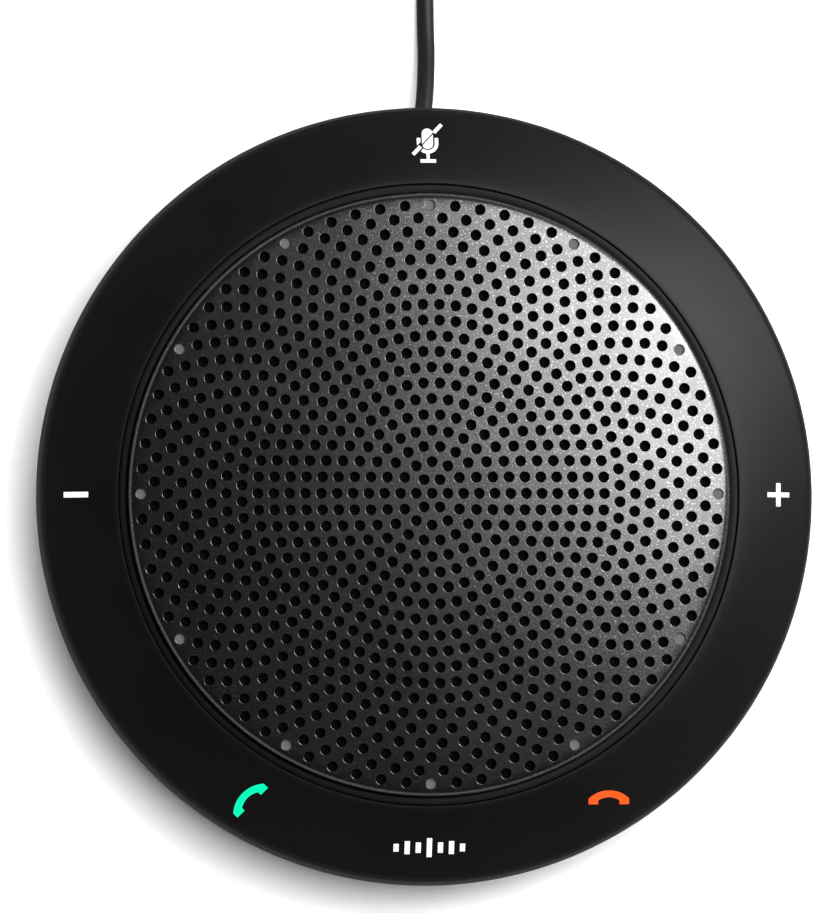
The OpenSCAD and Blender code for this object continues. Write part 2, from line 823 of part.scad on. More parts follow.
// Route of the cord from the strain relief down to the table and on to the coil
lead = [[0, 53, 8.4], [0, 55.5, 8.4], [0.5, 58.5, 7.9], [1.1, 62, 6.6], [1.5, 66, 4.9], [1.7, 70, 3.3],
        [1.7, 74, 2.2], [1.7, 78, 1.6], [1.8, 82, 1.4], [1.8, 86, 1.35], [1.8, 90, 1.35], [1.8, 94, 1.35],
        [1.8, 98, 1.35]];

// Route of the cord from the top of the coil over its own lead to the plug
tail = [[-17, 85.2, 9.75], [-13, 85.2, 9.7], [-8, 85.8, 9.1], [-3, 87.4, 7.8], [2, 89.8, 6.2],
        [7, 92.9, 4.9], [11, 95, 4.2], [14, 95.8, 4], [17, 96, 4]];

coil_at = [-17, 104];
turn_r = 16;
coil_w = 8.4;
coil_h = 11.2;
plug_at = [17, 96, 4];
shell_len = 12;
sides = 8;

function unit(v) = v / norm(v);
function heading(p, i) = unit(p[min(i + 1, len(p) - 1)] - p[max(i - 1, 0)]);
function ring_at(p, i, r, up) = let (t = heading(p, i), s = unit(cross(t, up)), u = cross(s, t))
    [for (k = [0:sides - 1]) p[i] + r * (cos(360 * k / sides) * s + sin(360 * k / sides) * u)];

// A tube of eight sides swept along its points, which never run along the direction up
module swept(p, r, up = [0, 0, 1]) {
    n = len(p);
    polyhedron(
        points = [for (i = [0:n - 1]) each ring_at(p, i, r, up)],
        faces = concat(
            [[for (k = [0:sides - 1]) k]],
            [for (i = [0:n - 2]) for (k = [0:sides - 1])
                [i * sides + k, (i + 1) * sides + k, (i + 1) * sides + (k + 1) % sides, i * sides + (k + 1) % sides]],
            [[for (k = [sides - 1:-1:0]) (n - 1) * sides + k]]));
}

module cord_lead() {
    color([0.05, 0.05, 0.05]) swept(lead, cord_r);
}

module cord_tail() {
    color([0.05, 0.05, 0.05]) swept(tail, cord_r);
}

module cord_coil() {
    color([0.05, 0.05, 0.05]) translate([coil_at[0], coil_at[1], 0]) rotate_extrude()
        translate([turn_r - coil_w / 2, 0]) square([coil_w, coil_h]);
}

// Moulded grip with its short strain relief, lying flat on the table
module plug_grip() {
    neck = 7;
    color([0.06, 0.06, 0.06]) translate(plug_at) difference() {
        union() {
            rotate([0, 90, 0]) cylinder(r1 = cord_r + 0.3, r2 = 3, h = neck + e);
            block(neck, neck + grip_len, -8, 8, -4, 4);
        }
        block(neck + 8, neck + grip_len + 1, -6, 6, -2.25, 2.25);
    }
}

module plug_shell() {
    t = 0.3;
    color([0.8, 0.8, 0.82]) translate(plug_at + [7 + grip_len, 0, 0]) difference() {
        block(-14, shell_len, -6, 6, -2.25, 2.25);
        block(-13, shell_len + 1, -6 + t, 6 - t, -2.25 + t, 2.25 - t);
        for (y = [-2.6, 2.6]) block(4, 6.5, y - 1.2, y + 1.2, -3, 3);
    }
}

module plug_insulator() {
    color([0.9, 0.9, 0.88]) translate(plug_at + [7 + grip_len, 0, 0])
        block(-13, shell_len - 1, -5.7, 5.7, 0.1, 1.95);
}

module plug_contacts() {
    color([0.85, 0.7, 0.3]) translate(plug_at + [7 + grip_len, 0, 0])
        for (y = [-3.5, -1, 1, 3.5]) block(-2, shell_len - 2, y - 0.5, y + 0.5, -0.1, 0.1);
}

touch_ring();
icon_mute();
icon_volume_up();
icon_volume_down();
icon_answer();
icon_end();
front_mark();
touch_film();
speaker_grille();
acoustic_cloth();
grille_trim_ring();
light_guide();
led_board();
leds();
led_flex();
baffle();
baffle_screws();
speaker_gasket();
speaker_basket();
speaker_screws();
speaker_top_plate();
speaker_magnet();
speaker_yoke();
speaker_spider();
speaker_surround();
voice_coil();
speaker_cone();
dust_cap();
speaker_leads();
microphone();
mic_boot();
main_board();
board_chips();
board_capacitors();
board_headers();
board_screws();
jack_board();
headset_jack();
jack_flex();
bottom_case();
cord_spool();
base_plate();
case_screws();
foot_ring();
stand();
stand_pad();
stand_pin();
cord_grommet();
cord_inner();
cord_lead();
cord_coil();
cord_tail();
plug_grip();
plug_shell();
plug_insulator();
plug_contacts();
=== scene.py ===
"""Round table-top conference speakerphone with touch keys, a perforated metal grille and a wired plug."""

import math

import bmesh
import bpy
from mathutils import Matrix, Vector


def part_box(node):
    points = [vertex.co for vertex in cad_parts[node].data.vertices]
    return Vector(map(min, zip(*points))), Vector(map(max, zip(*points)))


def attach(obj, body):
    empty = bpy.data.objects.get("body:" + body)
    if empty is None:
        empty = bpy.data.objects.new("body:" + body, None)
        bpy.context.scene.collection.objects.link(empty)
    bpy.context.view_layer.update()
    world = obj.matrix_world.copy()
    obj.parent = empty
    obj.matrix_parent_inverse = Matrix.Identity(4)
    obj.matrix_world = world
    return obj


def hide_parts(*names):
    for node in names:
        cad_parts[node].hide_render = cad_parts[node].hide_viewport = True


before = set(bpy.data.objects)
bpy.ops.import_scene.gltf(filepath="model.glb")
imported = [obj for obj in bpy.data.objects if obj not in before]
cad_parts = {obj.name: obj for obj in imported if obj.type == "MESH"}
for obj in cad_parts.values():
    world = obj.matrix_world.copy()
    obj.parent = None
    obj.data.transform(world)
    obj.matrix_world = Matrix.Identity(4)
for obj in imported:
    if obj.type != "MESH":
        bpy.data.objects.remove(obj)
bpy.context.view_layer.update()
MM = 0.001

# ---- camera ------------------------------------------------------------------------------------
# A long lens almost straight above the table, with the cord leaving at the top of the frame.

aim = Vector((-2.58, 6.1, 20.5)) * MM
towards_camera = Vector((-0.0786, -0.0391, 1)).normalized()
view_distance = 1.1
camera_right = Vector((0, 1, 0)).cross(towards_camera).normalized()
camera_up = towards_camera.cross(camera_right)
lean = Matrix.Rotation(-0.0024, 3, towards_camera)

camera = bpy.data.objects.new("camera", bpy.data.cameras.new("camera"))
camera.data.lens = 281.5
camera.data.sensor_width = 36
camera.data.clip_start = 0.01
camera.matrix_world = Matrix.Translation(aim + towards_camera * view_distance) @ Matrix(
    (lean @ camera_right, lean @ camera_up, towards_camera)).transposed().to_4x4()
bpy.context.scene.collection.objects.link(camera)
bpy.context.scene.camera = camera
bpy.context.scene.view_settings.view_transform = "Standard"

# ---- floor and studio light --------------------------------------------------------------------
# White table top, clear from below, in a room with grey walls and a dark ceiling. A tall strip softbox
# at the rear right lights the object, one overhead lights only the table, and one below lights the base.


def wire(tree, a, b):
    tree.links.new(a, b)


floor_paint = bpy.data.materials.new("white_table")
floor_paint.use_nodes = True
tree = floor_paint.node_tree
tree.nodes.clear()
white = tree.nodes.new("ShaderNodeBsdfDiffuse")
white.inputs["Color"].default_value = (0.9, 0.9, 0.9, 1)
grey = tree.nodes.new("ShaderNodeBsdfDiffuse")
grey.inputs["Color"].default_value = (0.1, 0.1, 0.1, 1)
path = tree.nodes.new("ShaderNodeLightPath")
top = tree.nodes.new("ShaderNodeMixShader")
clear = tree.nodes.new("ShaderNodeBsdfTransparent")
facing = tree.nodes.new("ShaderNodeNewGeometry")
blend = tree.nodes.new("ShaderNodeMixShader")
out = tree.nodes.new("ShaderNodeOutputMaterial")
unseen = tree.nodes.new("ShaderNodeMath")
unseen.operation = "MAXIMUM"
wire(tree, facing.outputs["Backfacing"], unseen.inputs[0])
wire(tree, path.outputs["Is Shadow Ray"], unseen.inputs[1])
wire(tree, unseen.outputs[0], blend.inputs["Fac"])
wire(tree, path.outputs["Is Camera Ray"], top.inputs["Fac"])
wire(tree, grey.outputs["BSDF"], top.inputs[1])
wire(tree, white.outputs["BSDF"], top.inputs[2])
wire(tree, top.outputs["Shader"], blend.inputs[1])
wire(tree, clear.outputs["BSDF"], blend.inputs[2])
wire(tree, blend.outputs["Shader"], out.inputs["Surface"])

bm = bmesh.new()
bmesh.ops.create_grid(bm, x_segments=1, y_segments=1, size=4)
bmesh.ops.translate(bm, verts=bm.verts, vec=(0, 0, -0.00002))
floor_mesh = bpy.data.meshes.new("floor")
bm.to_mesh(floor_mesh)
bm.free()
floor_mesh.materials.append(floor_paint)
floor = bpy.data.objects.new("floor", floor_mesh)
bpy.context.scene.collection.objects.link(floor)


def softbox(name, azimuth, polar, distance, size, watts):
    """A lamp that faces the object, placed by compass angle and by its angle from straight up."""
    lamp = bpy.data.lights.new(name, "AREA")
    lamp.shape = "RECTANGLE"
    lamp.size, lamp.size_y = size
    lamp.energy = watts
    obj = bpy.data.objects.new(name, lamp)
    a, p = math.radians(azimuth), math.radians(polar)
    out_from = Vector((math.sin(p) * math.cos(a), math.sin(p) * math.sin(a), math.cos(p)))
    obj.location = Vector((0, 0, 0.03)) + out_from * distance
    across = Vector((-math.sin(a), math.cos(a), 0))
    obj.rotation_mode = "QUATERNION"
    facing_in = Matrix((across, out_from.cross(across), out_from)).transposed()
    obj.rotation_quaternion = facing_in.to_quaternion()
    obj.visible_camera = False
    bpy.context.scene.collection.objects.link(obj)
    return obj


softbox("key_strip", 31, 40, 1.6, (0.68, 1.56), 13)
softbox("under_table", 0, 180, 0.9, (1.2, 1.2), 9)
overhead = softbox("overhead", 62, 9, 1.6, (0.8, 0.8), 42)
table_only = bpy.data.collections.new("table_only")
table_only.objects.link(floor)
overhead.light_linking.receiver_collection = table_only

room = bpy.data.worlds.new("room")
bpy.context.scene.world = room
room.use_nodes = True
tree = room.node_tree
tree.nodes.clear()
dim = tree.nodes.new("ShaderNodeBackground")
sky = tree.nodes.new("ShaderNodeTexCoord")
apart = tree.nodes.new("ShaderNodeSeparateXYZ")
walls = tree.nodes.new("ShaderNodeMapRange")
walls.inputs["From Min"].default_value = 0.2
walls.inputs["From Max"].default_value = 0.6
walls.inputs["To Min"].default_value = 0.4
walls.inputs["To Max"].default_value = 0.022
wire(tree, sky.outputs["Generated"], apart.inputs[0])
wire(tree, apart.outputs["Z"], walls.inputs["Value"])
wire(tree, walls.outputs["Result"], dim.inputs["Color"])
paper = tree.nodes.new("ShaderNodeBackground")
paper.inputs["Color"].default_value = (1, 1, 1, 1)
path = tree.nodes.new("ShaderNodeLightPath")
blend = tree.nodes.new("ShaderNodeMixShader")
out = tree.nodes.new("ShaderNodeOutputWorld")
wire(tree, path.outputs["Is Camera Ray"], blend.inputs["Fac"])
wire(tree, dim.outputs["Background"], blend.inputs[1])
wire(tree, paper.outputs["Background"], blend.inputs[2])
wire(tree, blend.outputs["Shader"], out.inputs["Surface"])

# ---- cord --------------------------------------------------------------------------------------
# Round black PVC-jacketed USB lead, 2.7 mm thick. It leaves the rear strain relief, drops to the
# table and is wound into a coil behind the object, with the plug lying beside the coil.


def grain_effect():
    """Fine moulded or sprayed texture: its height, a slow change of tone, and sparse bright specks."""
    group = bpy.data.node_groups.new("grain", "ShaderNodeTree")
    for name, kind in (("Vector", "NodeSocketVector"), ("Size", "NodeSocketFloat")):
        group.interface.new_socket(name, in_out="INPUT", socket_type=kind)
    for name in ("Height", "Tone", "Specks"):
        group.interface.new_socket(name, in_out="OUTPUT", socket_type="NodeSocketFloat")
    given = group.nodes.new("NodeGroupInput")
    made = group.nodes.new("NodeGroupOutput")
    for name, share, detail in (("Height", 1.0, 3), ("Tone", 0.02, 2), ("Specks", 0.6, 1)):
        scale = group.nodes.new("ShaderNodeMath")
        scale.operation = "MULTIPLY"
        scale.inputs[1].default_value = share
        wire(group, given.outputs["Size"], scale.inputs[0])
        noise = group.nodes.new("ShaderNodeTexNoise")
        noise.inputs["Detail"].default_value = detail
        wire(group, given.outputs["Vector"], noise.inputs["Vector"])
        wire(group, scale.outputs[0], noise.inputs["Scale"])
        if name == "Height":
            wire(group, noise.outputs["Fac"], made.inputs[name])
            continue
        spread = group.nodes.new("ShaderNodeMapRange")
        low, high = (0.35, 0.65) if name == "Tone" else (0.6, 0.72)
        spread.inputs["From Min"].default_value = low
        spread.inputs["From Max"].default_value = high
        wire(group, noise.outputs["Fac"], spread.inputs["Value"])
        wire(group, spread.outputs["Result"], made.inputs[name])
    return group


GRAIN = grain_effect()


def mix_colour(tree, fac, a, b):
    """A colour mix whose ends are sockets or plain colours."""
    node = tree.nodes.new("ShaderNodeMix")
    node.data_type = "RGBA"
    for socket, value in ((node.inputs[6], a), (node.inputs[7], b)):
        if isinstance(value, bpy.types.NodeSocket):
            wire(tree, value, socket)
        else:
            socket.default_value = (*value, 1)
    wire(tree, fac, node.inputs[0])
    return node.outputs[2]


def finish(name, colour, rough, metal=0.0, size=0.35, depth=0.012, tone=0.2, rough_tone=0.06,
           specks=0.0, painted_glow=0.0):
    """A moulded, sprayed or plated finish. Size and depth of its grain are in millimetres.
    A painted glow, if given, makes the colour shine as light of its own: painted light.
    """
    made = bpy.data.materials.new(name)
    made.use_nodes = True
    tree = made.node_tree
    skin = tree.nodes["Principled BSDF"]
    skin.inputs["Metallic"].default_value = metal
    place = tree.nodes.new("ShaderNodeTexCoord")
    grain = tree.nodes.new("ShaderNodeGroup")
    grain.node_tree = GRAIN
    grain.inputs["Size"].default_value = 1 / (size * MM)
    wire(tree, place.outputs["Object"], grain.inputs["Vector"])
    dark = tuple(c * (1 - tone) for c in colour)
    pale = tuple(min(1, c * (1 + tone)) for c in colour)
    shade = mix_colour(tree, grain.outputs["Tone"], dark, pale)
    if specks:
        lit = tuple(min(1, c + specks) for c in colour)
        shade = mix_colour(tree, grain.outputs["Specks"], shade, lit)
    wire(tree, shade, skin.inputs["Base Color"])
    # Painted glow: the surface colour is also given off as light, so the part stays bright where it lies in
    # shade.
    if painted_glow:
        wire(tree, shade, skin.inputs["Emission Color"])
        skin.inputs["Emission Strength"].default_value = painted_glow
    spread = tree.nodes.new("ShaderNodeMapRange")
    spread.inputs["To Min"].default_value = rough - rough_tone
    spread.inputs["To Max"].default_value = rough + rough_tone
    wire(tree, grain.outputs["Height"], spread.inputs["Value"])
    wire(tree, spread.outputs["Result"], skin.inputs["Roughness"])
    bump = tree.nodes.new("ShaderNodeBump")
    bump.inputs["Distance"].default_value = depth * MM
    wire(tree, grain.outputs["Height"], bump.inputs["Height"])
    wire(tree, bump.outputs["Normal"], skin.inputs["Normal"])
    return made


def smooth_route(points, parts=4):
    """A smooth line through given points, each stretch cut into equal parts."""
    points = [Vector(p) for p in points]
    ends = [2 * points[0] - points[1]] + points + [2 * points[-1] - points[-2]]
    route = []
    for i in range(1, len(ends) - 2):
        a, b, c, d = ends[i - 1:i + 3]
        for k in range(parts):
            t = k / parts
            route.append(0.5 * (2 * b + (c - a) * t + (2 * a - 5 * b + 4 * c - d) * t ** 2
                                + (3 * b - a - 3 * c + d) * t ** 3))
    return route + [points[-1]]


cord_d = 2.7
lead = [(0, 52.9, 8.4), (0, 55.5, 8.4), (0.5, 58.5, 7.9), (1.1, 62, 6.6), (1.5, 66, 4.9), (1.7, 70, 3.3),
        (1.7, 74, 2.2), (1.7, 78, 1.6), (1.8, 82, 1.4), (1.8, 86, 1.35), (1.8, 90, 1.35), (1.8, 94, 1.35),
        (1.8, 98, 1.35)]
tail = [(-13, 85.2, 9.7), (-8, 85.8, 9.1), (-3, 87.4, 7.8), (2, 89.8, 6.2), (7, 92.9, 4.9), (11, 95, 4.2),
        (14, 95.8, 4), (17, 96, 4)]
coil_at = Vector((-17, 104, 0))
coil_out, coil_in = 18.8, 13.9
layer_rise = 2.8
layer_turns, step_turns = 1.75, 0.25
turn_points = 40


def coil_point(turn):
    """Where the coil's middle line is after so many turns. Layers wind inward and outward by turns."""
    layer = min(int(turn // 2), 3)
    along = turn - 2 * layer
    first, last = (coil_out, coil_in) if layer % 2 == 0 else (coil_in, coil_out)
    radius = first + (last - first) * min(along / layer_turns, 1)
    step = max(0, (along - layer_turns) / step_turns)
    height = cord_d / 2 + layer_rise * (layer + step * step * (3 - 2 * step))
    angle = math.tau * turn
    return coil_at + Vector((radius * math.cos(angle), radius * math.sin(angle), height))


coil = [coil_point(k / turn_points) for k in range(int(7.75 * turn_points) + 1)]
route = smooth_route([*lead, coil[0]])[:-1] + coil[:-1] + smooth_route([coil[-1], *tail])

jacket = finish("cord_jacket", (0.045, 0.045, 0.046), 0.42, size=0.25, depth=0.006)
cord_line = bpy.data.curves.new("usb_cord", "CURVE")
cord_line.dimensions = "3D"
spline = cord_line.splines.new("POLY")
spline.points.add(len(route) - 1)
for point, co in zip(spline.points, route):
    point.co = (*(co * MM), 1)
spline.use_smooth = True
cord_line.bevel_depth = cord_d / 2 * MM
cord_line.bevel_resolution = 5
cord_line.use_fill_caps = True
cord_line.materials.append(jacket)
usb_cord = bpy.data.objects.new("usb_cord", cord_line)
bpy.context.scene.collection.objects.link(usb_cord)
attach(usb_cord, "root")
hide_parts("cord_lead", "cord_coil", "cord_tail")


def coat(material, *nodes):
    """Give carried-over solids their finish."""
    for node in nodes:
        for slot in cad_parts[node].material_slots:
            slot.material = material


coat(jacket, "cord_inner")

# ---- plug --------------------------------------------------------------------------------------
# USB-A plug lying flat beside the coil: overmoulded soft grip with a ribbed neck, a folded nickel
# shell with two latch windows on each face, a white tongue and four gilt contacts.


def new_piece(name, bm, material, slot, *replaced, body="root", sharp=35):
    """Turn a finished mesh into a named piece that rides on its body."""
    mesh = bpy.data.meshes.new(name)
    bm.to_mesh(mesh)
    bm.free()
    mesh.shade_smooth()
    mesh.set_sharp_from_angle(angle=math.radians(sharp))
    mesh.materials.append(material)
    obj = bpy.data.objects.new(name, mesh)
    bpy.context.scene.collection.objects.link(obj)
    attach(obj, body)
    if replaced:
        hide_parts(*replaced)
    return obj


def lathe(outline, steps=160, ring=False):
    """Spin an outline of (radius, height) points in millimetres round Z into a closed body."""
    bm = bmesh.new()
    verts = [bm.verts.new((r * MM, 0, z * MM)) for r, z in outline]
    edges = [bm.edges.new(pair) for pair in zip(verts, verts[1:])]
    if ring:
        edges.append(bm.edges.new((verts[-1], verts[0])))
    bmesh.ops.spin(bm, geom=verts + edges, angle=math.tau, steps=steps, axis=(0, 0, 1), use_merge=True)
    bmesh.ops.remove_doubles(bm, verts=bm.verts, dist=1e-6)
    bmesh.ops.dissolve_degenerate(bm, edges=bm.edges, dist=1e-7)
    bmesh.ops.recalc_face_normals(bm, faces=bm.faces)
    return bm


def block(x0, x1, y0, y1, z0, z1):
    """A box between two corners in millimetres."""
    bm = bmesh.new()
    size = Matrix.Diagonal(((x1 - x0) * MM, (y1 - y0) * MM, (z1 - z0) * MM, 1))
    middle = Matrix.Translation(Vector(((x0 + x1) / 2, (y0 + y1) / 2, (z0 + z1) / 2)) * MM)
    bmesh.ops.create_cube(bm, size=1, matrix=middle @ size)
    return bm


def round_edges(bm, offset, segments=3, angle=30, where=lambda edge: True):
    """Round the edges sharper than an angle."""
    edges = [e for e in bm.edges if len(e.link_faces) == 2
             and e.calc_face_angle(0) > math.radians(angle) and where(e)]
    bmesh.ops.bevel(bm, geom=edges, offset=offset * MM, offset_type="OFFSET", segments=segments,
                    profile=0.5, affect="EDGES", material=-1, clamp_overlap=True)
    return bm


def runs_along(axis):
    """A test for the edges that run along X, Y or Z, given as 0, 1 or 2."""
    return lambda e: abs((e.verts[0].co - e.verts[1].co).normalized()[axis]) > 0.9


def join(bm, *others):
    """Put loose shells into one piece."""
    for other in others:
        mesh = bpy.data.meshes.new("shell")
        other.to_mesh(mesh)
        other.free()
        bm.from_mesh(mesh)
        bpy.data.meshes.remove(mesh)
    return bm


def carve(bm, *tools, how="DIFFERENCE"):
    """Cut closed tools out of a closed body, or weld them to it."""
    def hold(shape):
        mesh = bpy.data.meshes.new("carving")
        shape.to_mesh(mesh)
        shape.free()
        obj = bpy.data.objects.new("carving", mesh)
        bpy.context.scene.collection.objects.link(obj)
        return obj

    held = hold(bm)
    used = [hold(tool) for tool in tools]
    for tool in used:
        modifier = held.modifiers.new("carve", "BOOLEAN")
        modifier.object = tool
        modifier.operation = how
        modifier.solver = "EXACT"
    cut = bpy.data.meshes.new_from_object(held.evaluated_get(bpy.context.evaluated_depsgraph_get()))
    made = bmesh.new()
    made.from_mesh(cut)
    bpy.data.meshes.remove(cut)
    for obj in (held, *used):
        mesh = obj.data
        bpy.data.objects.remove(obj)
        bpy.data.meshes.remove(mesh)
    return made


def turn_to(bm, axis, at):
    """Lay a body spun round Z along another axis, and move it to a place in millimetres."""
    turn = Vector((0, 0, 1)).rotation_difference(Vector(axis)).to_matrix().to_4x4()
    bmesh.ops.transform(bm, matrix=Matrix.Translation(Vector(at) * MM) @ turn, verts=bm.verts)
    return bm


plug_x, plug_y, plug_z = plug_at = (17, 96, 4)
grip_w, grip_h, grip_len, neck_len = 16, 8, 22, 7
ridges = 6
neck = [(0, 0)]
for k in range(ridges):
    z, r = neck_len * k / ridges, 1.68 + 1.3 * k / ridges
    neck += [(r, z), (r, z + 0.75), (r - 0.3, z + 0.8), (r - 0.3, z + neck_len / ridges - 0.05)]
neck += [(3, neck_len), (3, neck_len + 2), (0, neck_len + 2)]
grip = block(plug_x + neck_len, plug_x + neck_len + grip_len, plug_y - grip_w / 2,
             plug_y + grip_w / 2, 0, grip_h)
round_edges(grip, 2.6, 6, where=runs_along(0))
round_edges(grip, 1.2, 4, 60)
grip = carve(grip, block(40, 47, plug_y - 6.1, plug_y + 6.1, plug_z - 2.35, plug_z + 2.35),
             *[round_edges(block(28 + 2.6 * k, 29.2 + 2.6 * k, 87, 105, z, z + 1), 0.2, 1)
               for k in range(4) for z in (-0.7, 7.7)])
grip = join(grip, turn_to(lathe(neck, 48), (1, 0, 0), plug_at))
plug_rubber = finish("plug_rubber", (0.013, 0.013, 0.014), 0.5, size=0.3, depth=0.01)
plug_grip = new_piece("usb_plug_grip", grip, plug_rubber, "cord_jacket", "plug_grip")

shell_x0, shell_x1 = 38, 58
shell = round_edges(block(shell_x0, shell_x1, 90, 102, 1.75, 6.25), 0.45, 3, where=runs_along(0))
hollow = round_edges(block(shell_x0 + 1, shell_x1 + 1, 90.3, 101.7, 2.05, 5.95), 0.2, 2, where=runs_along(0))
latches = [block(50, 52.5, y - 1.2, y + 1.2, 0.5, 7.5) for y in (93.4, 98.6)]
fold_seam = block(45, 59, 95.97, 96.03, 1, 2.06)
shell = carve(shell, hollow, *latches, fold_seam)
round_edges(shell, 0.07, 1, 60)
nickel = finish("plug_nickel", (0.62, 0.61, 0.58), 0.22, metal=1, size=0.15, depth=0.002, tone=0.06)
plug_shell = new_piece("usb_plug_shell", shell, nickel, "plug_nickel", "plug_shell", sharp=25)
coat(finish("plug_tongue", (0.75, 0.75, 0.72), 0.35, size=0.4, depth=0.004, tone=0.05), "plug_insulator")
coat(finish("contact_gold", (0.85, 0.62, 0.22), 0.25, metal=1, size=0.1, depth=0.001, tone=0.08),
     "plug_contacts")

# ---- strain relief -----------------------------------------------------------------------------
# Soft rubber sleeve moulded on the cord, with five cut rings so that it bends. Its flange sits
# inside the cord spool and its body passes through the spool's wall.

relief_z = 8.4
relief = [(0, 38.4), (2.5, 38.4), (2.5, 42.4)]
for k in range(5):
    y = 42.8 + 1.9 * k
    r = 2.5 - 0.8 * (y - 42) / 11
    relief += [(r, y), (r - 0.1, y + 1.25), (r - 0.5, y + 1.35), (r - 0.5, y + 1.8)]
relief += [(1.75, 52.3), (1.68, 53), (0, 53)]
sleeve = turn_to(lathe(relief, 64), (0, 1, 0), (0, 0, relief_z))
soft_rubber = finish("soft_rubber", (0.014, 0.014, 0.014), 0.6, size=0.3, depth=0.012, tone=0.25)
new_piece("cord_strain_relief", sleeve, soft_rubber, "soft_rubber", "cord_grommet")

# ---- touch ring --------------------------------------------------------------------------------
# One moulded ring of black polycarbonate with a fine spark-eroded texture. Its top falls from an
# inner lip to a soft outer corner, and it snaps over the tongue of the lower case.

lip_r, lip_z = 47.6, 28.8
corner_r, corner_z = 59.2, 24
rim_r, rim_z = 60, 20.8
ring_wall = 2
skirt_r = corner_r - ring_wall
baffle_top = 26.2


def ring_top(r):
    """Height of the ring's top face at a radius, both in millimetres."""
    along = min(max((r - lip_r) / (corner_r - lip_r), 0), 1)
    return lip_z - (lip_z - corner_z) * along ** 1.25


ring_steps = [lip_r + (corner_r - lip_r) * k / 14 for k in range(15)]
outline = [(r, ring_top(r)) for r in ring_steps] + [(rim_r, rim_z), (skirt_r, rim_z)]
outline += [(r, ring_top(r) - ring_wall) for r in reversed(ring_steps)
            if lip_r + ring_wall < r < skirt_r - 0.3]
outline += [(lip_r + ring_wall, baffle_top), (lip_r, baffle_top)]
ring = lathe(outline, 256, ring=True)
round_edges(ring, 0.55, 5, 30, lambda e: abs(e.verts[0].co.xy.length - corner_r * MM) < 1e-5)
round_edges(ring, 0.22, 3, 30, lambda e: abs(e.verts[0].co.xy.length - lip_r * MM) < 1e-5
            and e.verts[0].co.z > 28 * MM)
round_edges(ring, 0.25, 3, 50, lambda e: e.verts[0].co.z < (rim_z + 0.05) * MM)
ring_plastic = finish("ring_plastic", (0.0095, 0.0095, 0.0098), 0.42, size=0.22, depth=0.006, tone=0.18,
                      rough_tone=0.05)
new_piece("touch_ring_moulding", ring, ring_plastic, "ring_plastic", "touch_ring")

# ---- key symbols -------------------------------------------------------------------------------
# Translucent symbols moulded through the ring's top face: microphone off, louder, quieter, answer
# and end, and a plain row of seven bars at the front. They stand a hair proud of the ring.
# Their white, green and red are their own colours; the glow added to them is painted light, which
# keeps them bright on the ring's shaded side.

# Painted glow: each symbol gives off light in its own colour, so it stays bright where the ring is in shade.
symbol_colours_and_painted_glow = {
    slot: finish(slot, colour, 0.4, size=0.2, depth=0.002, tone=tone, painted_glow=0.9)
    for slot, colour, tone in (("icon_white", (0.95, 0.95, 0.95), 0.03),
                               ("icon_green", (0.0, 0.88, 0.44), 0.04),
                               ("icon_red", (0.95, 0.1, 0.012), 0.04))
}


cut_step, proud, sunk = 0.6, 0.03, 0.4


def key_symbol(node, slot):
    """The symbol's outline from its solid, cut finely and raised to the ring's smooth top face."""
    bm = bmesh.new()
    bm.from_mesh(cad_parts[node].data)
    bmesh.ops.remove_doubles(bm, verts=bm.verts, dist=1e-6)
    low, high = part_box(node)
    for axis in (0, 1):
        normal = Vector((1, 0, 0) if axis == 0 else (0, 1, 0))
        cuts = int((high[axis] - low[axis]) / (cut_step * MM))
        for k in range(1, cuts + 1):
            place = normal * (low[axis] + (high[axis] - low[axis]) * k / (cuts + 1))
            bmesh.ops.bisect_plane(bm, geom=bm.verts[:] + bm.edges[:] + bm.faces[:], plane_co=place,
                                   plane_no=normal, dist=1e-7)
    for v in bm.verts:
        r = v.co.xy.length / MM
        top = v.co.z > (ring_top(r) - 0.25) * MM
        v.co.z = (ring_top(r) + (proud if top else -sunk)) * MM
    new_piece(node + "_inlay", bm, symbol_colours_and_painted_glow[slot], slot, node, sharp=50)


for node, slot in (("icon_mute", "icon_white"), ("icon_volume_up", "icon_white"),
                   ("icon_volume_down", "icon_white"), ("front_mark", "icon_white"),
                   ("icon_answer", "icon_green"), ("icon_end", "icon_red")):
    key_symbol(node, slot)

# ---- speaker grille ----------------------------------------------------------------------------
# Pressed 0.8 mm steel dome with a rolled edge, sprayed dark metallic grey. The punched holes stand
# in round rows that grow by six holes at a time, then in seven fanned rows of seventy-two.

grille_r = 46.2
dome_r, dome_z, crown_z = 45.2, 30.6, 33
sheet_t = 0.8
hole_r = 1.65 / 2
hole_sides, rim_sides = 12, 216
row_pitch, fan_pitch = 2.41, 2.69
even_rows, fan_holes = 12, 72
last_row = 44.3


def dome(r):
    """Height of the grille's outer face at a radius, both in millimetres."""
    return crown_z - (crown_z - dome_z) * (r / dome_r) ** 2


rows = [(row_pitch * k, 6 * k, 0 if k < even_rows else 0.5) for k in range(1, even_rows + 1)]
row_r = row_pitch * even_rows
half_step = 0
while True:
    row_r += math.sqrt(fan_pitch ** 2 - (math.pi * row_r / fan_holes) ** 2)
    if row_r > last_row:
        break
    rows.append((row_r, fan_holes, half_step))
    half_step = 0.5 - half_step

bm = bmesh.new()
bmesh.ops.create_circle(bm, radius=hole_r * MM, segments=hole_sides)
for row_r, count, shift in rows:
    for k in range(count):
        a = math.tau * (k + shift) / count
        bmesh.ops.create_circle(bm, radius=hole_r * MM, segments=hole_sides, matrix=Matrix.Translation(
            (row_r * math.cos(a) * MM, row_r * math.sin(a) * MM, 0)))
bmesh.ops.create_circle(bm, radius=dome_r * MM, segments=rim_sides)
bmesh.ops.triangle_fill(bm, use_beauty=True, use_dissolve=False, edges=bm.edges[:])
for v in bm.verts:
    v.co.z = dome(v.co.xy.length / MM) * MM
bmesh.ops.recalc_face_normals(bm, faces=bm.faces)
if sum(f.normal.z for f in bm.faces) < 0:
    bmesh.ops.reverse_faces(bm, faces=bm.faces)
edge = [e for e in bm.edges if len(e.link_faces) == 1 and e.verts[0].co.xy.length > (dome_r - 0.05) * MM]
roll = 1
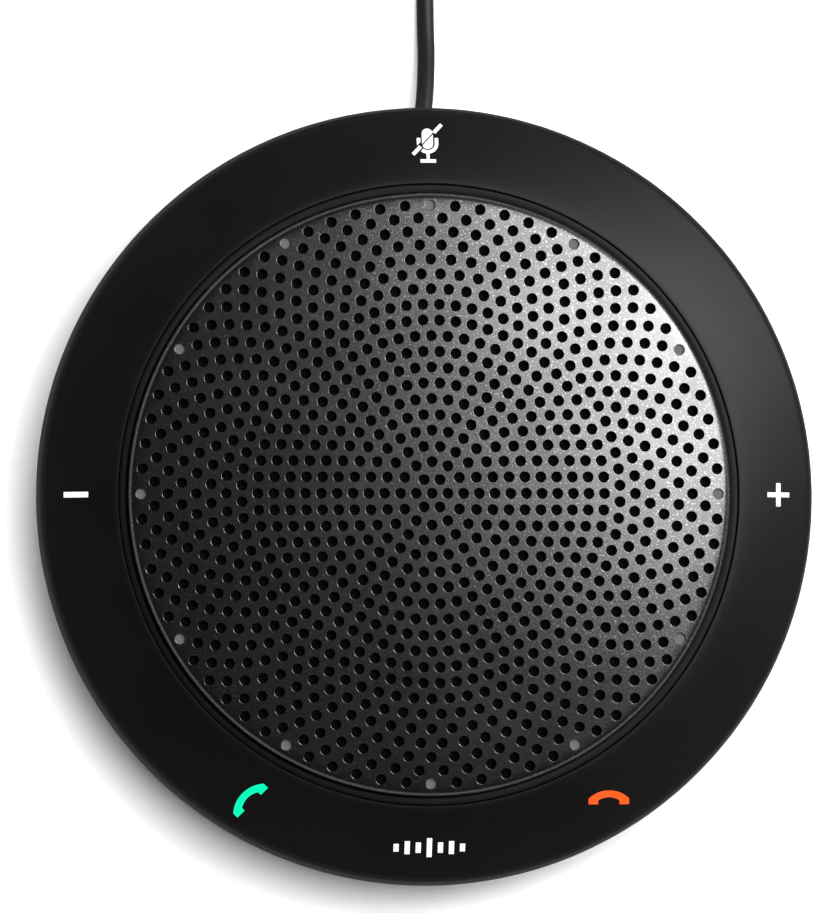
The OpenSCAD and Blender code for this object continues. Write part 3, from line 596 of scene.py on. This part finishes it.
for r, z in [(dome_r + roll * math.sin(math.radians(a)), dome_z - roll * (1 - math.cos(math.radians(a))))
             for a in (30, 60, 90)] + [(grille_r, 28.5), (grille_r, baffle_top)]:
    made = bmesh.ops.extrude_edge_only(bm, edges=edge)["geom"]
    for v in (g for g in made if isinstance(g, bmesh.types.BMVert)):
        v.co.xy = v.co.xy.normalized() * r * MM
        v.co.z = z * MM
    edge = [g for g in made if isinstance(g, bmesh.types.BMEdge)]
grille_metal = finish("grille_metal", (0.26, 0.26, 0.263), 0.24, metal=1, size=0.2, depth=0.0045, tone=0.1,
                      rough_tone=0.06, specks=0.3)
grille = new_piece("perforated_grille", bm, grille_metal, "grille_metal", "speaker_grille", sharp=40)
sheet = grille.modifiers.new("sheet", "SOLIDIFY")
sheet.thickness = sheet_t * MM
sheet.offset = -1
sheet.use_even_offset = True
punch = grille.modifiers.new("punched_edges", "BEVEL")
punch.width = 0.14 * MM
punch.segments = 2
punch.limit_method = "ANGLE"
punch.angle_limit = math.radians(50)
punch.harden_normals = True

# ---- cloth and light ring ----------------------------------------------------------------------
# Black acoustic cloth glued under the grille keeps dust out. A milky acrylic ring carries the light
# of twelve lamps up to its tips, which stand in twelve of the outermost holes.

cloth = bpy.data.materials.new("acoustic_cloth")
cloth.use_nodes = True
tree = cloth.node_tree
skin = tree.nodes["Principled BSDF"]
skin.inputs["Roughness"].default_value = 0.9
skin.inputs["Specular IOR Level"].default_value = 0.2
place = tree.nodes.new("ShaderNodeTexCoord")
threads = []
for direction in ("X", "Y"):
    thread = tree.nodes.new("ShaderNodeTexWave")
    thread.bands_direction = direction
    thread.inputs["Scale"].default_value = 900
    thread.inputs["Distortion"].default_value = 0.6
    wire(tree, place.outputs["Object"], thread.inputs["Vector"])
    threads.append(thread.outputs["Fac"])
cross = tree.nodes.new("ShaderNodeMath")
cross.operation = "MULTIPLY"
wire(tree, threads[0], cross.inputs[0])
wire(tree, threads[1], cross.inputs[1])
weave = mix_colour(tree, cross.outputs[0], (0.002, 0.002, 0.002), (0.02, 0.02, 0.02))
wire(tree, weave, skin.inputs["Base Color"])
bump = tree.nodes.new("ShaderNodeBump")
bump.inputs["Distance"].default_value = 0.08 * MM
wire(tree, cross.outputs[0], bump.inputs["Height"])
wire(tree, bump.outputs["Normal"], skin.inputs["Normal"])
coat(cloth, "acoustic_cloth")

coat(finish("light_guide_milky", (0.42, 0.43, 0.43), 0.3, size=0.5, depth=0.003, tone=0.06), "light_guide")

# ---- grille trim ring --------------------------------------------------------------------------
# Thin satin plastic ring pressed into the gap between the grille and the touch ring.

trim_in_r, trim_out_r, trim_top = 46.32, 47.5, 28.45
trim = lathe([(trim_in_r, baffle_top), (trim_out_r, baffle_top), (trim_out_r, trim_top),
              (trim_in_r, trim_top)], 200, ring=True)
round_edges(trim, 0.12, 2, 50)
trim_plastic = finish("trim_plastic", (0.006, 0.006, 0.0062), 0.5, size=0.3, depth=0.004)
new_piece("grille_trim", trim, trim_plastic, "trim_plastic", "grille_trim_ring")

# ---- lower case --------------------------------------------------------------------------------
# Bowl of black ABS between the cord groove and the seam under the touch ring. Four posts carry the
# speaker frame, four bosses take the case screws, and a hole at the rear left lets the headset in.

post_r, screw_r = 45.2, 36.6


def to_corner(bm, k, radius, spin=0):
    """Move a body spun round Z out to one of the four corners between the axes."""
    turn = Matrix.Rotation(math.radians(45 + 90 * k), 4, "Z")
    own = Matrix.Rotation(math.radians(spin), 4, "Z")
    bmesh.ops.transform(bm, matrix=turn @ Matrix.Translation((radius * MM, 0, 0)) @ own, verts=bm.verts)
    return bm


case_plastic = finish("case_plastic", (0.008, 0.008, 0.0085), 0.48, size=0.3, depth=0.012, tone=0.2)
arc = [math.radians(90 * k / 14) for k in range(15)]
outline = [(33.5, 11.5)] + [(49 + 10.4 * math.sin(t), 20.3 - 8.8 * math.cos(t)) for t in arc]
outline += [(57.2, 20.3), (57.2, 22.8), (55.8, 22.8)]
outline += [(48.6 + 7.2 * math.sin(t), 20.31 - 6.81 * math.cos(t)) for t in reversed(arc)] + [(33.5, 13.5)]
bowl = lathe(outline, 192, ring=True)
round_edges(bowl, 0.25, 2, 40, lambda e: e.verts[0].co.xy.length > 58 * MM
            and e.verts[0].co.z < 20.4 * MM)
jack_at = math.radians(150)
jack_way = (math.cos(jack_at), math.sin(jack_at), 0)
jack_z = 16.8
mouth = turn_to(lathe([(0, 55), (3.0, 55), (3.0, 57.9), (3.6, 58.9), (3.6, 62), (0, 62)], 48),
                jack_way, (0, 0, jack_z))
throat = turn_to(lathe([(0, 47), (2.6, 47), (2.6, 55.5), (0, 55.5)], 48), jack_way, (0, 0, jack_z))
bowl = carve(bowl, mouth, throat)
for k in range(4):
    for radius, r_out, r_in, z0, z1 in ((post_r, 3, 1.1, 13.4, 22.4), (screw_r, 2.6, 1.1, 13.4, 18.5)):
        post = lathe([(r_out + 0.3, z0), (r_out, z1 - 0.3), (r_out - 0.3, z1), (r_in, z1), (r_in, z0)],
                     40, ring=True)
        bowl = join(bowl, to_corner(post, k, radius))
new_piece("lower_case", bowl, case_plastic, "case_plastic", "bottom_case")

# ---- cord spool --------------------------------------------------------------------------------
# Neck that the cord winds round, clamped by the case screws between the lower case and the base.

spool = lathe([(39, 5), (41.6, 5), (41.15, 5.4), (41, 6), (41, 10.5), (41.15, 11.1), (41.6, 11.5), (39, 11.5)],
              192, ring=True)
for k in range(4):
    boss = lathe([(2.6, 5), (2.6, 11.5), (1.25, 11.5), (1.25, 5)], 32, ring=True)
    spool = join(spool, to_corner(boss, k, screw_r))
new_piece("winding_spool", spool, case_plastic, "case_plastic", "cord_spool")

# ---- base plate --------------------------------------------------------------------------------
# Moulded disc that closes the housing. Its underside has a seat for the rubber foot, a pocket for
# the folded stand with a finger gap, and four deep holes for the case screws.

plate = lathe([(0, 0.8), (39.5, 0.8), (39.5, 1.8), (44.5, 1.8), (44.5, 0.8), (47, 0.8), (47, 5), (34, 5),
               (34, 2.8), (0, 2.8)], 192)
round_edges(plate, 0.45, 3, 50, lambda e: e.verts[0].co.xy.length > 46.9 * MM)
plate = carve(plate, block(-23.5, 23.5, -11.6, 29, 2.4, 5), how="UNION")
pocket = round_edges(block(-20.5, 20.5, -9.6, 27, -1, 4), 1.5, 4, where=runs_along(2))
holes = []
for k in range(4):
    hole = lathe([(0, -1), (2.5, -1), (2.5, 0.75), (2.15, 1.05), (2.15, 2.6), (1.25, 2.6), (1.25, 6),
                  (0, 6)], 32)
    holes.append(to_corner(hole, k, screw_r))
plate = carve(plate, pocket, *holes)
new_piece("base_plate_moulding", plate, case_plastic, "case_plastic", "base_plate")

# ---- case screws -------------------------------------------------------------------------------
# Four zinc-plated pan-head screws with cross recesses, driven from below at the bottom of deep holes.

screw_steel = finish("screw_steel", (0.5, 0.5, 0.48), 0.28, metal=1, size=0.1, depth=0.003, tone=0.1)
screws = bmesh.new()
for k in range(4):
    head = lathe([(0, 1.1), (1.1, 1.12), (1.6, 1.35), (1.9, 1.8), (1.95, 2.6), (1.1, 2.6), (1.1, 16.4),
                  (0.5, 17), (0, 17)], 32)
    head = carve(head, block(-1.1, 1.1, -0.19, 0.19, 0.5, 1.9), block(-0.19, 0.19, -1.1, 1.1, 0.5, 1.9))
    screws = join(screws, to_corner(head, k, screw_r, spin=20 + 31 * k))
new_piece("case_screw_set", screws, screw_steel, "screw_steel", "case_screws")
coat(screw_steel, "baffle_screws", "speaker_screws", "board_screws", "stand_pin")

# ---- rubber foot -------------------------------------------------------------------------------
# Ring of soft rubber glued into its seat, with two fine grip grooves in its sole.

foot = lathe([(39.5, 1.8), (39.5, 0.35), (39.85, 0), (40.9, 0), (41.05, 0.25), (41.35, 0.25), (41.5, 0),
              (42.5, 0), (42.65, 0.25), (42.95, 0.25), (43.1, 0), (44.15, 0), (44.5, 0.35), (44.5, 1.8)],
             192, ring=True)
foot_rubber = finish("foot_rubber", (0.03, 0.03, 0.03), 0.75, size=0.4, depth=0.02, tone=0.3, specks=0.04)
new_piece("foot_ring_rubber", foot, foot_rubber, "soft_rubber", "foot_ring")

# ---- fold-out stand ----------------------------------------------------------------------------
# Moulded plate with a window, hinged on a steel pin in the base, with a ribbed rubber pad near its
# free end. It folds out of its pocket to tilt the speaker up.

hinge_y, hinge_z = 24, 2.3
leaf = block(-20, 20, -4.6, hinge_y, 1, 3.2)
upright = runs_along(2)
round_edges(leaf, 2.5, 5, where=lambda e: upright(e) and e.verts[0].co.y < 0)
window = round_edges(block(-12, 12, 4.4, 18, 0, 5), 2, 5, where=upright)
seat = round_edges(block(-17, 17, -3.1, 1.9, 0, 1.8), 1, 3, where=upright)
leaf = carve(leaf, window, seat)
round_edges(leaf, 0.22, 2, 60)
barrel = lathe([(0.8, -20), (1.1, -20), (1.3, -19.8), (1.3, 19.8), (1.1, 20), (0.8, 20)], 40, ring=True)
barrel = turn_to(barrel, (1, 0, 0), (0, hinge_y, hinge_z))
leaf = join(leaf, barrel)
new_piece("stand_leaf", leaf, case_plastic, "case_plastic", "stand", body="stand")

pad = round_edges(block(-16.95, 16.95, -3.05, 1.85, 1, 1.8), 0.95, 3, where=upright)
pad = carve(pad, *[block(-20, 20, y, y + 0.35, 0.5, 1.25) for y in (-2.1, -1.2, -0.3, 0.6)])
round_edges(pad, 0.08, 1, 60)
new_piece("stand_grip_pad", pad, foot_rubber, "soft_rubber", "stand_pad", body="stand")

# ---- headset jack ------------------------------------------------------------------------------
# Black 3.5 mm socket on its own small board, with its nose in the lower case's hole.

coat(finish("jack_plastic", (0.01, 0.01, 0.01), 0.35, size=0.3, depth=0.005), "headset_jack")

# ---- speaker -----------------------------------------------------------------------------------
# Full-range driver: pressed basket, paper cone and cap on a rubber surround, a copper coil, a waxed
# cloth spider, and a ferrite magnet between plated steel plates.

coat(finish("frame_plastic", (0.012, 0.012, 0.013), 0.55, size=0.4, depth=0.02), "baffle")
coat(soft_rubber, "speaker_gasket", "speaker_surround", "mic_boot")
coat(finish("basket_steel", (0.06, 0.06, 0.065), 0.4, metal=0.6, size=0.3, depth=0.01), "speaker_basket")
coat(finish("motor_steel", (0.55, 0.54, 0.5), 0.32, metal=1, size=0.2, depth=0.004), "speaker_top_plate",
     "speaker_yoke")
coat(finish("magnet_ferrite", (0.03, 0.03, 0.032), 0.55, size=0.3, depth=0.02, specks=0.05), "speaker_magnet")
coat(finish("coil_copper", (0.8, 0.32, 0.12), 0.3, metal=1, size=0.12, depth=0.01), "voice_coil")
coat(finish("cone_paper", (0.018, 0.018, 0.02), 0.8, size=0.5, depth=0.05, tone=0.3, specks=0.03),
     "speaker_cone", "dust_cap")
coat(finish("spider_cloth", (0.5, 0.32, 0.1), 0.85, size=0.3, depth=0.06, tone=0.25), "speaker_spider")
coat(finish("wire_red", (0.5, 0.015, 0.012), 0.4, size=0.3, depth=0.004), "speaker_leads")

# ---- boards ------------------------------------------------------------------------------------
# Green glass-fibre boards with moulded chips, canned capacitors and ivory headers; amber flexible
# strips join the main board to the light ring, the touch film and the jack.

coat(finish("circuit_board", (0.012, 0.11, 0.04), 0.35, size=0.5, depth=0.01, tone=0.25), "main_board",
     "led_board", "jack_board")
coat(finish("chip_resin", (0.02, 0.02, 0.021), 0.5, size=0.15, depth=0.008), "board_chips")
coat(finish("capacitor_can", (0.6, 0.6, 0.62), 0.25, metal=1, size=0.1, depth=0.003), "board_capacitors",
     "microphone")
coat(finish("header_plastic", (0.7, 0.66, 0.55), 0.45, size=0.3, depth=0.005, tone=0.08), "board_headers")
coat(finish("flex_film", (0.55, 0.22, 0.03), 0.3, size=0.6, depth=0.004, tone=0.12), "led_flex", "jack_flex",
     "touch_film")
coat(finish("led_lens", (0.85, 0.78, 0.4), 0.2, size=0.2, depth=0.002, tone=0.06), "leds")
